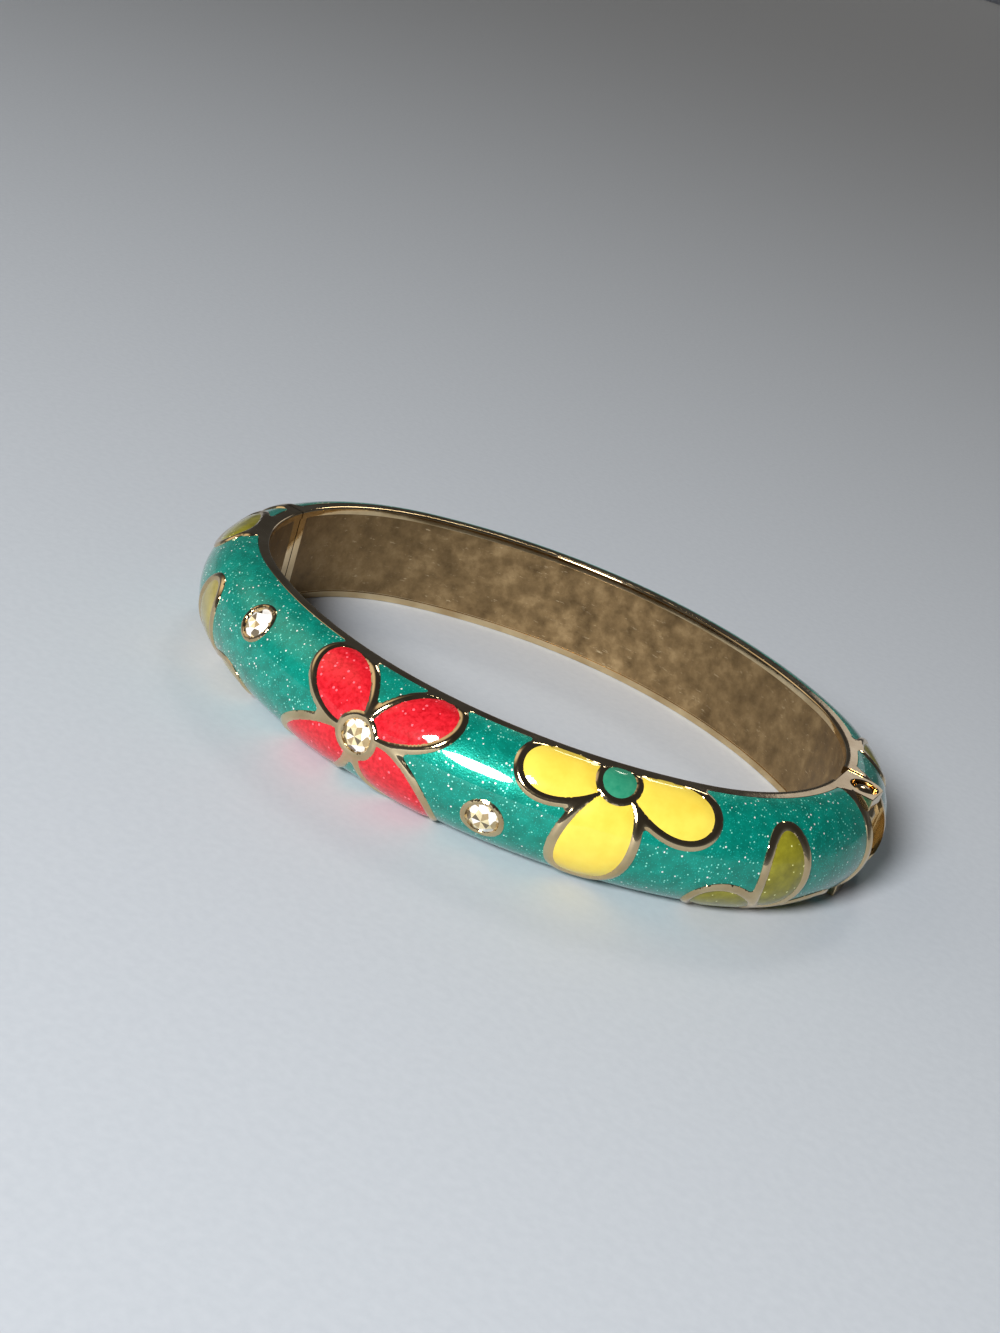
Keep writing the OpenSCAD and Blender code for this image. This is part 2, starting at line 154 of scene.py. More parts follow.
# %% List the petals, hearts and stones
RED_HEART, YELLOW_HEART = (-3.7, 0.3), (19.5, 5.75)
OLIVE_HEART, MUSTARD_HEART = (36.8, -6.6), (-29.6, -6.7)
PETALS = {
    "red_petal_1": (-7.4, 3.8, 143, 3.95, 2.4, 0.05, RED_HEART),
    "red_petal_2": (0.55, 3.85, 37, 3.95, 2.05, 0.3, RED_HEART),
    "red_petal_3": (-8.5, -3.4, 218, 4.85, 2.4, 0.25, RED_HEART),
    "red_petal_4": (0.56, -3.2, -47, 4.35, 2.6, 0.05, RED_HEART),
    "yellow_petal_1": (14.8, 5.15, 186, 3.85, 2.25, 0.25, YELLOW_HEART),
    "yellow_petal_2": (18.85, 0.1, 257, 4.8, 2.7, 0.15, YELLOW_HEART),
    "yellow_petal_3": (24.45, 4.9, -16, 4.05, 2.3, 0.2, YELLOW_HEART),
    "olive_petal_1": (36.4, -0.1, 95, 4.2, 1.85, 0.0, OLIVE_HEART),
    "olive_petal_2": (32.1, -4.4, 155, 3.3, 2.2, 0.1, OLIVE_HEART),
    "olive_petal_3": (41.6, -5.2, 12, 3.2, 1.7, 0.1, OLIVE_HEART),
    "mustard_petal_1": (-29.25, -1.4, 90, 3.9, 1.95, 0.1, MUSTARD_HEART),
    "mustard_petal_2": (-24.2, -5.2, 18, 3.6, 1.8, 0.1, MUSTARD_HEART),
    "mustard_petal_3": (-34.9, -5.2, 162, 3.4, 1.8, 0.1, MUSTARD_HEART),
    "clasp_leaf": (-41.6, 4.7, 0, 4.2, 1.9, 0.15, None),
    "hinge_leaf": (63.4, 3.6, 150, 4.2, 1.9, 0.15, None),
}
FRONT_PETALS = [name for name in PETALS if name != "hinge_leaf"]
STONES = {
    "crystal_left": (-19.95, 3.15),
    "crystal_middle": (9.3, -1.6),
    "crystal_flower": RED_HEART,
}
SOLID_HEARTS = [OLIVE_HEART, MUSTARD_HEART]
FILLETS = [(17.75, 6.95), (21.1, 6.95), (34.7, -7.0), (38.1, -4.6), (38.6, -7.1),
           (-37.3, 6.6), (-38.6, 6.95), (-31.2, -4.9)]
FILLET = 1.0
OUTLINE, COLLET, SEAT, HEART_ROOM = 0.9, 2.0, 1.5, 2.25
WALL, RIM = 0.03, 7.3
print(len(PETALS), "petals and leaves,", len(STONES), "stones")

# %% [markdown]
# ## How deep a place lies in the metal
# The cast outlines run into one another round each flower, so they are not
# separate rings. One measure serves them all: how far a place lies inside the
# metal, counted from the nearest cell of enamel. Where it is negative there is
# a cell. The height of the casting then follows from this one number.

# %% Measure distances on the pattern
CREASE, CELL_FLOOR, WALL_TOP, CREST, SHOULDER = 0.6, -0.3, 0.1, 0.15, 0.45


def egg_distance(petal, s, v):
    """Distance outside a petal's egg, or minus the distance inside it."""
    ps, pv, turn, length, width, full, _ = petal
    c, d = math.cos(math.radians(turn)), math.sin(math.radians(turn))
    x = (s - ps) * c + (v - pv) * d
    y = (v - pv) * c - (s - ps) * d
    along = max(-1.0, min(1.0, x / length))
    w = width * (1 + full * along)
    q = math.hypot(x / length, y / w)
    if q < 1e-6:
        return -width
    slope = math.hypot(x / length ** 2, y / w ** 2) / q
    return (q - 1) / max(slope, 1e-6)


def cell_depth(petal, s, v):
    """How deep a place lies inside a petal's cell, negative outside it."""
    depth = min(-egg_distance(petal, s, v), RIM - abs(v))
    if petal[6]:
        depth = min(depth, math.hypot(s - petal[6][0], v - petal[6][1]) - HEART_ROOM)
    return depth


def near(s, names):
    """The petals that can reach a place at s."""
    return [PETALS[n] for n in names if abs(PETALS[n][0] - s) < 8]


def soft_max(a, b):
    """The larger of two numbers, with the crease where they meet rounded."""
    close = max(0.0, CREASE - abs(a - b))
    return max(a, b) + close * close / (4 * CREASE)


def metal_depth(s, v, names, with_stones, end):
    """How deep a place lies in the metal, negative inside a cell.
    end is how far the place lies inside the border at a half's end."""
    spots = []
    if with_stones:
        spots = [p for p in list(STONES.values()) + SOLID_HEARTS + [YELLOW_HEART]
                 if abs(p[0] - s) < 4]
    from_ground = soft_max(abs(v) - RIM, end)
    from_cells = 9.0  # farther than any cell
    for petal in near(s, names):
        from_ground = soft_max(from_ground, OUTLINE - egg_distance(petal, s, v))
        from_cells = min(from_cells, -cell_depth(petal, s, v))
    for spot in spots:
        away = math.hypot(s - spot[0], v - spot[1])
        from_ground = soft_max(from_ground, COLLET - away)
        if spot not in SOLID_HEARTS:
            from_cells = min(from_cells, away - SEAT)
    if with_stones:
        for spot in FILLETS:
            away = math.hypot(s - spot[0], v - spot[1])
            from_ground = max(from_ground, FILLET - away)
    return min(from_ground, from_cells)


def casting_height(depth):
    """Height of the casting: a sunk cell, a short wall and a rounded outline."""
    if depth < WALL:
        return max(CELL_FLOOR, WALL_TOP - 3.0 * (WALL - depth))
    across = min(1.0, (depth - WALL) / SHOULDER)
    return WALL_TOP + CREST * (1 - (1 - across) ** 2)


print("crest of an outline:", round(casting_height(SHOULDER), 2), "mm above the green")

# %% [markdown]
# ## Workbench helpers
# Blender's tools act on all that is selected, so each piece starts with
# nothing selected. Pieces are shaped in millimetres and shrunk to metres at the
# end, because in metres their points lie so close together that the cutting
# tools would take neighbours for one point.

# %% Define the workbench helpers
def clear_bench():
    """Leaves edit mode and deselects everything."""
    if bpy.context.mode != "OBJECT":
        bpy.ops.object.mode_set(mode="OBJECT")
    bpy.ops.object.select_all(action="DESELECT")


def take(piece):
    """Selects one piece and makes it active."""
    clear_bench()
    piece.select_set(True)
    bpy.context.view_layer.objects.active = piece


def pick(piece, wanted):
    """Selects only the points that pass a test, and leaves edit mode open."""
    take(piece)
    bpy.ops.object.mode_set(mode="EDIT")
    bpy.ops.mesh.select_mode(type="VERT")
    bpy.ops.mesh.select_all(action="DESELECT")
    bpy.ops.object.mode_set(mode="OBJECT")
    for vertex in piece.data.vertices:
        vertex.select = wanted(vertex.co)
    bpy.ops.object.mode_set(mode="EDIT")


def profile_ring(name, points):
    """A circle of points pressed on to a closed profile of (out, up) pairs."""
    clear_bench()
    bpy.ops.mesh.primitive_circle_add(vertices=len(points), radius=1.0)
    piece = bpy.context.object
    piece.name = name
    for vertex, (out, up) in zip(piece.data.vertices, points):
        vertex.co = (out, 0.0, MIDDLE + up)
    return piece


def apply_modifiers(piece):
    """Turns what a piece's modifiers show into its real shape."""
    take(piece)
    for modifier in list(piece.modifiers):
        bpy.ops.object.modifier_apply(modifier=modifier.name)


def face_outwards(piece):
    """Merges doubled points and turns every face outwards."""
    take(piece)
    bpy.ops.object.mode_set(mode="EDIT")
    bpy.ops.mesh.select_all(action="SELECT")
    bpy.ops.mesh.remove_doubles(threshold=0.002)
    bpy.ops.mesh.normals_make_consistent(inside=False)
    bpy.ops.object.mode_set(mode="OBJECT")


def cut_flat(piece, place, away, side=0):
    """Saws the piece at a plane, drops the side that away points to and caps it.
    With side 1 or -1, only the half of the piece with x of that sign is sawn."""
    pick(piece, lambda point: point.x * side >= 0)
    bpy.ops.mesh.bisect(plane_co=place, plane_no=away, use_fill=True,
                        clear_inner=False, clear_outer=True, threshold=0.0001)
    bpy.ops.object.mode_set(mode="OBJECT")


def bore(piece, tool, how="DIFFERENCE"):
    """Cuts one shape with another and throws the tool away."""
    modifier = piece.modifiers.new("cut", "BOOLEAN")
    modifier.operation, modifier.solver, modifier.object = how, "EXACT", tool
    apply_modifiers(piece)
    bpy.data.objects.remove(tool, do_unlink=True)


def round_tool(place, radius, low, high):
    """An upright cylinder to cut with, between two heights."""
    clear_bench()
    bpy.ops.mesh.primitive_cylinder_add(
        vertices=64, radius=radius, depth=high - low,
        location=(place[0], place[1], (low + high) / 2))
    bpy.ops.object.transform_apply(location=True, rotation=True, scale=True)
    return bpy.context.object


def join(first, *others):
    """Makes several pieces one, without cutting them."""
    take(first)
    for other in others:
        other.select_set(True)
    bpy.ops.object.join()
    return first


def finish_piece(piece, name, body, finish, nodes=(), smooth=35):
    """Shrinks a piece to metres, smooths it, dresses it and lets it ride."""
    take(piece)
    piece.name = name
    piece.data.name = name
    bpy.ops.object.mode_set(mode="EDIT")
    bpy.ops.mesh.select_all(action="SELECT")
    bpy.ops.transform.resize(value=(MM, MM, MM), center_override=(0, 0, 0))
    bpy.ops.object.mode_set(mode="OBJECT")
    bpy.ops.object.shade_smooth_by_angle(angle=math.radians(smooth))
    piece.data.materials.clear()
    piece.data.materials.append(finish)
    if nodes:
        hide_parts(*nodes)
    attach(piece, body)
    triangles = sum(len(p.vertices) - 2 for p in piece.data.polygons)
    print(name, "-", triangles, "triangles")


print("bench ready")

# %% [markdown]
# ## Finishes
# Polished plating is smooth metal with the faintest unevenness. Enamel is a
# coloured glass: colour below, a clear coat above. The green has glitter mixed
# in, which shows as small specks of three sizes; the brightest, near-white ones
# are painted glints. Everything reads object coordinates, so the patterns are
# the same size on every piece.

# %% Start a finish and read the pattern space
def new_finish(name):
    """A new material, its nodes and links, its shader and object coordinates."""
    finish = bpy.data.materials.new(name)
    finish.use_nodes = True
    nodes, links = finish.node_tree.nodes, finish.node_tree.links
    shader = nodes["Principled BSDF"]
    place = nodes.new("ShaderNodeTexCoord")
    return finish, nodes, links, shader, place.outputs["Object"]


def noise(nodes, links, place, grain_mm, detail=2.0, rough=0.5):
    """Cloudy noise with a grain of so many millimetres."""
    texture = nodes.new("ShaderNodeTexNoise")
    texture.inputs["Scale"].default_value = 1.0 / (grain_mm * MM)
    texture.inputs["Detail"].default_value = detail
    texture.inputs["Roughness"].default_value = rough
    links.new(place, texture.inputs["Vector"])
    return texture.outputs["Fac"]


def ramp(nodes, links, value, stops):
    """Colour ramp with stops of (place, colour)."""
    node = nodes.new("ShaderNodeValToRGB")
    while len(node.color_ramp.elements) < len(stops):
        node.color_ramp.elements.new(0.5)
    for element, (place, colour) in zip(node.color_ramp.elements, stops):
        element.position = place
        element.color = (*colour, 1.0)
    links.new(value, node.inputs["Fac"])
    return node.outputs["Color"]


def grey(level):
    """A colour with its three parts alike."""
    return (level, level, level)


def blend_colours(nodes, links, amount, under, over):
    """Mixes two colours, each a plain colour or the output of a node."""
    node = nodes.new("ShaderNodeMix")
    node.data_type = "RGBA"
    links.new(amount, node.inputs["Factor"])
    for socket, colour in (("A", under), ("B", over)):
        target = [i for i in node.inputs if i.name == socket and i.type == "RGBA"][0]
        if isinstance(colour, tuple):
            target.default_value = (*colour, 1.0)
        else:
            links.new(colour, target)
    return [o for o in node.outputs if o.type == "RGBA"][0]


def relief_bump(nodes, links, shader, height, depth_mm, strength=1.0, socket="Normal"):
    """Unevenness too fine to model, felt by the base or by the coat alone."""
    node = nodes.new("ShaderNodeBump")
    node.inputs["Strength"].default_value = strength
    node.inputs["Distance"].default_value = depth_mm * MM
    links.new(height, node.inputs["Height"])
    links.new(node.outputs["Normal"], shader.inputs[socket])


print("finish helpers ready")

# %% Make the two metals
def polished_gold():
    """Glossy plating, a little uneven in tint and gloss."""
    finish, nodes, links, shader, place = new_finish("polished_gold")
    tint = noise(nodes, links, place, 3.0, 3.0)
    colour = ramp(nodes, links, tint, [
        (0.3, (0.56, 0.41, 0.22)), (0.7, (0.78, 0.62, 0.38))])
    links.new(colour, shader.inputs["Base Color"])
    shader.inputs["Metallic"].default_value = 1.0
    smear = noise(nodes, links, place, 0.9, 4.0, 0.6)
    rough = ramp(nodes, links, smear, [(0.35, grey(0.05)), (0.75, grey(0.13))])
    links.new(rough, shader.inputs["Roughness"])
    fine = noise(nodes, links, place, 0.35, 3.0)
    relief_bump(nodes, links, shader, fine, 0.006, 0.5)
    return finish


def worn_gold():
    """Dull, cloudy plating with long fine scratches."""
    finish, nodes, links, shader, place = new_finish("worn_gold")
    cloud = noise(nodes, links, place, 2.2, 5.0, 0.65)
    colour = ramp(nodes, links, cloud, [
        (0.3, (0.155, 0.100, 0.046)), (0.52, (0.27, 0.18, 0.085)),
        (0.75, (0.42, 0.30, 0.155))])
    shader.inputs["Metallic"].default_value = 0.85
    stretch = nodes.new("ShaderNodeMapping")
    stretch.inputs["Rotation"].default_value = (0.4, 0.3, 0.6)
    stretch.inputs["Scale"].default_value = (1.0, 2.0, 5.0)
    links.new(place, stretch.inputs["Vector"])
    scratch = noise(nodes, links, stretch.outputs["Vector"], 1.9, 6.0, 0.75)
    marks = ramp(nodes, links, scratch, [(0.61, grey(0.0)), (0.70, grey(1.0))])
    mixed = blend_colours(nodes, links, marks, colour, (0.62, 0.49, 0.30))
    links.new(mixed, shader.inputs["Base Color"])
    rough = ramp(nodes, links, cloud, [(0.3, grey(0.34)), (0.7, grey(0.58))])
    links.new(rough, shader.inputs["Roughness"])
    relief_bump(nodes, links, shader, scratch, 0.03, 0.6)
    return finish


GOLD, WORN = polished_gold(), worn_gold()
print("made", GOLD.name, "and", WORN.name)

# %% [markdown]
# ## Enamel
# One recipe makes every colour. A cloud of noise moves the colour between a
# deep and a light tone, a ripple gives the surface its slight orange peel, and
# a clear coat gives the gloss. Glitter is a cell pattern: each cell holds one
# flake, and only the cells with a high random number show theirs.

# %% Make the enamels
def glitter(nodes, links, place, spacing_mm, size, share):
    """A mask of bright flakes: one in each chosen cell."""
    cells = nodes.new("ShaderNodeTexVoronoi")
    cells.inputs["Scale"].default_value = 1.0 / (spacing_mm * MM)
    links.new(place, cells.inputs["Vector"])
    near_flake = nodes.new("ShaderNodeMath")
    near_flake.operation = "LESS_THAN"
    near_flake.inputs[1].default_value = size
    links.new(cells.outputs["Distance"], near_flake.inputs[0])
    parts = nodes.new("ShaderNodeSeparateColor")
    links.new(cells.outputs["Color"], parts.inputs["Color"])
    chosen = nodes.new("ShaderNodeMath")
    chosen.operation = "GREATER_THAN"
    chosen.inputs[1].default_value = 1.0 - share
    links.new(parts.outputs["Red"], chosen.inputs[0])
    both = nodes.new("ShaderNodeMath")
    both.operation = "MULTIPLY"
    links.new(near_flake.outputs["Value"], both.inputs[0])
    links.new(chosen.outputs["Value"], both.inputs[1])
    return both.outputs["Value"]


def enamel(name, deep, light, grain_mm=1.6, flakes=(), ripple=0.004, ripple_mm=1.1,
           sparkle=0.0):
    """Coloured glass. Ripple shapes the clear coat, and sparkle is how much fine
    metal powder lies in the colour below it, each grain at a slant of its own."""
    finish, nodes, links, shader, place = new_finish(name)
    cloud = noise(nodes, links, place, grain_mm, 4.0, 0.6)
    colour = ramp(nodes, links, cloud, [(0.32, deep), (0.68, light)])
    for spacing, size, share, tone in flakes:
        mask = glitter(nodes, links, place, spacing, size, share)
        colour = blend_colours(nodes, links, mask, colour, tone)
    links.new(colour, shader.inputs["Base Color"])
    shader.inputs["Roughness"].default_value = 0.4
    shader.inputs["Specular IOR Level"].default_value = 0.1
    shader.inputs["Coat Weight"].default_value = 1.0
    shader.inputs["Coat IOR"].default_value = 1.45
    shader.inputs["Coat Roughness"].default_value = 0.05
    wave = noise(nodes, links, place, ripple_mm, 2.0)
    if sparkle:
        shader.inputs["Metallic"].default_value = sparkle
        shader.inputs["Roughness"].default_value = 0.36
        powder = noise(nodes, links, place, 0.16, 2.0)
        relief_bump(nodes, links, shader, powder, 0.03)
        relief_bump(nodes, links, shader, wave, ripple, socket="Coat Normal")
    else:
        relief_bump(nodes, links, shader, wave, ripple)
    return finish


GREEN = enamel("green_glitter_enamel", (0.0, 0.185, 0.135), (0.0, 0.300, 0.225), 1.4, [
    # each row is one kind of flake: spacing in mm, size, share of cells, colour
    (0.15, 0.34, 0.35, (0.01, 0.42, 0.34)),
    (0.22, 0.31, 0.14, (0.30, 0.90, 0.74)),
    # the near-white flakes are painted glints: glitter painted as if it caught the light
    (0.32, 0.27, 0.07, (1.0, 1.0, 0.95))], sparkle=0.28)
RED = enamel("red_enamel", (0.46, 0.002, 0.008), (0.76, 0.018, 0.032), 0.40, [
    (0.36, 0.34, 0.16, (0.95, 0.14, 0.18))], ripple=0.03, ripple_mm=0.45)
YELLOW = enamel("yellow_enamel", (0.83, 0.60, 0.064), (0.88, 0.70, 0.095), 2.5)
PALE_GREEN = enamel("pale_green_enamel", (0.012, 0.22, 0.125), (0.045, 0.30, 0.175), 1.0)
OLIVE = enamel("olive_enamel", (0.17, 0.155, 0.008), (0.29, 0.27, 0.02), 1.2, [
    (0.34, 0.26, 0.12, (0.85, 0.85, 0.35))])
MUSTARD = enamel("mustard_enamel", (0.25, 0.21, 0.060), (0.35, 0.30, 0.095), 1.4)
print("six enamels made")

# %% [markdown]
# ## Sweeping the band
# A band like this is a single profile carried round four arcs. Spin does just
# that: it turns the profile round a centre in small steps and leaves the last
# ring selected, so the next arc carries on from there.

# %% Sweep a profile round a half
BEYOND = 4  # degrees that a half is swept past its ends, to be sawn off


def spin_on(steps, degrees, centre):
    """Carries the selected profile on round a centre."""
    bpy.ops.mesh.spin(steps=steps, angle=math.radians(degrees), axis=(0, 0, -1),
                      center=(centre[0], centre[1], 0.0))


def sweep_half(piece, rear, step_mm):
    """Carries a profile from beyond the clasp, along one half, past the hinge."""
    take(piece)
    end_degrees = math.degrees(END_ANGLE) + BEYOND
    start = math.pi - math.radians(BEYOND)
    for vertex in piece.data.vertices:
        out, up = vertex.co.x, vertex.co.z
        reach = END_RADIUS + out
        vertex.co = (-AXIS_GAP + reach * math.cos(start), reach * math.sin(start), up)
    end_steps = round(math.radians(end_degrees) * (END_RADIUS + THICK) / step_mm)
    side_steps = round(2 * SIDE_RUN / step_mm)
    bpy.ops.object.mode_set(mode="EDIT")
    bpy.ops.mesh.select_all(action="SELECT")
    spin_on(end_steps, end_degrees, (-AXIS_GAP, 0.0))
    spin_on(side_steps, math.degrees(2 * SIDE_HALF), (0.0, SIDE_BACK))
    spin_on(end_steps, end_degrees, (AXIS_GAP, 0.0))
    bpy.ops.object.mode_set(mode="OBJECT")
    if rear:
        take(piece)
        bpy.ops.transform.mirror(constraint_axis=(False, True, False),
                                 center_override=(0, 0, 0))
        bpy.ops.object.transform_apply(location=True, rotation=True, scale=True)
    return piece


def dome_points(height, from_tilt, to_tilt, count):
    """Points of the dome between two tilts, height above the enamel."""
    points = []
    for i in range(count + 1):
        tilt = math.radians(from_tilt + (to_tilt - from_tilt) * i / count)
        r = DOME_RADIUS + height
        points.append((DOME_CENTRE + r * math.cos(tilt), r * math.sin(tilt)))
    return points


print("radius of the dome:", round(DOME_RADIUS, 2), "mm")

# %% [markdown]
# ## The two castings
# The profile is the dome outside, a flat rim on each edge and a shallow seat
# for the inner plate. Its corners are beveled while it is still a flat ring,
# where that is quick and even. After the sweep, every point of the dome is
# lifted to the height that the flat pattern gives there, and the two ends are
# sawn flat.

# %% Draw the casting's profile and sweep it
FRONT_END, REAR_END, CLASP_END, END_BORDER = -1.0, 3.0, 0.08, 0.95
RIM_TILT, PLATE_SEAT, SEAT_HALF = 81.9, 0.13, 4.5


def casting_ring(name):
    """The closed profile of a half, its two inner corners rounded."""
    dome = dome_points(0.0, -RIM_TILT, RIM_TILT, 100)
    # the first two lie on the flat of the rim and keep its shading flat
    upper = [(0.9, MIDDLE), (0.55, MIDDLE), (0.0, MIDDLE), (0.0, SEAT_HALF),
             (PLATE_SEAT, SEAT_HALF - 0.05)]
    lower = [(out, -up) for out, up in reversed(upper)]
    piece = profile_ring(name, dome + upper + [(PLATE_SEAT, 0.0)] + lower)
    pick(piece, lambda point: point.x < 0.01 and abs(point.z - MIDDLE) > 5.2)
    bpy.ops.mesh.bevel(offset=0.22, segments=4, affect="VERTICES", profile=0.5)
    bpy.ops.object.mode_set(mode="OBJECT")
    return piece


def lift_relief(piece, names, with_stones, end_of):
    """Lifts the dome's points to the height of the casting at their place. A
    point close to the edge of a cell is moved on to it, so edges come out smooth."""
    reach, step = 0.09, 0.01
    dome_edge, rim_edge = 7.6, 7.2  # v at the end of the dome, and short of the rim
    for vertex in piece.data.vertices:
        s, v, height = to_pattern(vertex.co)
        if abs(height) > 0.02 or abs(v) > dome_edge:
            continue  # not on the dome
        end = end_of(vertex.co)
        depth = metal_depth(s, v, names, with_stones, end)
        if abs(depth - WALL) < reach and abs(v) < rim_edge and end < 0:
            along = metal_depth(s + step, v, names, with_stones, end) - depth
            across = metal_depth(s, v + step, names, with_stones, end) - depth
            steep = math.hypot(along, across)
            if steep > 0.003:
                shift = (WALL - depth) * step / steep ** 2
                s, v, depth = s + shift * along, v + shift * across, WALL
        vertex.co = on_band(s, v, casting_height(depth))


def front_border(point):
    """How far a point lies inside the plain borders at the front half's ends."""
    to_end = FRONT_END - point.y if point.x > 0 else -CLASP_END - point.y
    return END_BORDER - to_end


def rear_border(point):
    """The same for the back half."""
    to_end = point.y - REAR_END if point.x > 0 else point.y - CLASP_END
    return END_BORDER - to_end


def saw_ends(piece, rear, shorter=0.0):
    """Saws a swept half flat at the hinge and at the clasp, and cleans it."""
    way = -1.0 if rear else 1.0
    hinge_end = REAR_END + shorter if rear else FRONT_END - shorter
    clasp_end = (CLASP_END + shorter) * -way
    cut_flat(piece, (30.0, hinge_end, 0.0), (0.0, way, 0.0), side=1)
    cut_flat(piece, (-30.0, clasp_end, 0.0), (0.0, way, 0.0), side=-1)
    face_outwards(piece)


front_metal = sweep_half(casting_ring("front_metal"), False, step_mm=0.15)
lift_relief(front_metal, FRONT_PETALS, True, front_border)
saw_ends(front_metal, False)
print("front casting:", len(front_metal.data.polygons), "faces")

# %% Sweep the back casting
rear_metal = sweep_half(casting_ring("rear_metal"), True, step_mm=0.22)
lift_relief(rear_metal, ["hinge_leaf"], False, rear_border)
saw_ends(rear_metal, True)
print("back casting:", len(rear_metal.data.polygons), "faces")

# %% [markdown]
# ## The hinge
# Two flat ears reach back from the front half, above and below a middle
# knuckle on the back half. Seen from above an ear is square towards the wrist
# and rounded where the back half has to swing past. The pin's domed head lies
# in a recess, so the recess is bored before the edges are broken. One flat
# bevel does that, and it keeps the flat top of an ear shaded flat.

# %% Shape an ear and copy it to the other side
KNUCKLE_RADIUS, KNUCKLE_FLAT, EAR_TOP, KNUCKLE_TOP = 1.85, 2.35, 5.12, 3.85
BASE, HOLE, RECESS, RECESS_DEPTH, PLAY = -2.04, 0.84, 1.3, 0.8, 0.1
EAR_REACH, KNUCKLE_REACH = 1.55, 1.8


def knuckle_plan(side, reach):
    """Plan of a knuckle round the pin; side is 1 for an ear and -1 for the middle."""
    tip = math.acos(min(1.0, reach / KNUCKLE_RADIUS))
    points = [(-KNUCKLE_FLAT, BASE), (reach, BASE)]
    for i in range(13):
        turn = tip + (math.pi / 2 - tip) * i / 12
        points.append((KNUCKLE_RADIUS * math.cos(turn), KNUCKLE_RADIUS * math.sin(turn)))
    points.append((-KNUCKLE_FLAT, KNUCKLE_RADIUS))
    return [(PIN_X + x, PIN_Y + y * side) for x, y in points]


def raise_plan(name, plan, low, high):
    """A flat outline filled and drawn up into a block."""
    clear_bench()
    bpy.ops.mesh.primitive_circle_add(vertices=len(plan), radius=1.0, fill_type="NGON")
    piece = bpy.context.object
    piece.name = name
    for vertex, (x, y) in zip(piece.data.vertices, plan):
        vertex.co = (x, y, MIDDLE + low)
    bpy.ops.object.mode_set(mode="EDIT")
    bpy.ops.mesh.select_all(action="SELECT")
    bpy.ops.mesh.extrude_region_move(TRANSFORM_OT_translate={"value": (0, 0, high - low)})
    bpy.ops.object.mode_set(mode="OBJECT")
    face_outwards(piece)
    return piece


def break_edges(piece, width):
    """Takes the sharpness off with one narrow flat bevel."""
    bevel = piece.modifiers.new("edges", "BEVEL")
    bevel.width, bevel.segments = width, 1
    bevel.limit_method, bevel.angle_limit = "ANGLE", math.radians(40)
    apply_modifiers(piece)


ear = raise_plan("ear", knuckle_plan(1, EAR_REACH), KNUCKLE_TOP + PLAY, EAR_TOP)
bore(ear, round_tool((PIN_X, PIN_Y), RECESS, MIDDLE + EAR_TOP - RECESS_DEPTH, MIDDLE + 8))
bore(ear, round_tool((PIN_X, PIN_Y), HOLE, 0, 20))
break_edges(ear, 0.07)
lower_ear = ear.copy()
lower_ear.data = ear.data.copy()
bpy.context.scene.collection.objects.link(lower_ear)
for vertex in lower_ear.data.vertices:
    vertex.co.z = 2 * MIDDLE - vertex.co.z
face_outwards(lower_ear)
print("two ears, top at", MIDDLE + EAR_TOP, "mm")

# %% Shape the middle knuckle
knuckle_profile = dome_points(-0.2, -47, 47, 24) + [(0.3, 3.7), (0.3, -3.7)]
knuckle_ring = profile_ring("knuckle", knuckle_profile)
take(knuckle_ring)
start = 0.2  # radians, a little past the hinge
for vertex in knuckle_ring.data.vertices:
    reach = END_RADIUS + vertex.co.x
    vertex.co = (AXIS_GAP + reach * math.cos(start), reach * math.sin(start), vertex.co.z)
bpy.ops.object.mode_set(mode="EDIT")
bpy.ops.mesh.select_all(action="SELECT")
spin_on(24, -20, (AXIS_GAP, 0.0))
bpy.ops.mesh.select_all(action="SELECT")
bpy.ops.mesh.fill_holes(sides=0)
bpy.ops.object.mode_set(mode="OBJECT")
face_outwards(knuckle_ring)
plan_tool = raise_plan("plan", knuckle_plan(-1, KNUCKLE_REACH), -KNUCKLE_TOP, KNUCKLE_TOP)
bore(knuckle_ring, plan_tool, "INTERSECT")
bore(knuckle_ring, round_tool((PIN_X, PIN_Y), HOLE, 0, 20))
break_edges(knuckle_ring, 0.06)
join(rear_metal, knuckle_ring)
print("middle knuckle", 2 * KNUCKLE_TOP, "mm high")

# %% [markdown]
# ## The tongue's slot
# The catch enters the front half through a slot. It is cut before the ears are
# soldered on, because a cut through pieces that overlap can lose one of them.

# %% Cut the tongue's slot and finish both castings
TONGUE_X, TONGUE_SIZE, SLOT_SIZE = -32.2, (0.8, 5.35, 5.0), (1.5, 4.0, 5.7)
clear_bench()
bpy.ops.mesh.primitive_cube_add(size=1.0)
slot_tool = bpy.context.object
bpy.ops.transform.resize(value=SLOT_SIZE)
bpy.ops.transform.translate(value=(TONGUE_X, -1.9, MIDDLE))
bpy.ops.object.transform_apply(location=True, rotation=True, scale=True)
bore(front_metal, slot_tool)
join(front_metal, ear, lower_ear)
finish_piece(front_metal, "front_casting", "front_half", GOLD,
             ["front_shell"])
finish_piece(rear_metal, "back_casting", "rear_half", GOLD,
             ["rear_shell"])

# %% [markdown]
# ## The pin
# A turned pin with a domed head. The flat end of a cylinder is inset ring by
# ring, and the rings are raised into a dome, which is how a head is spun over.

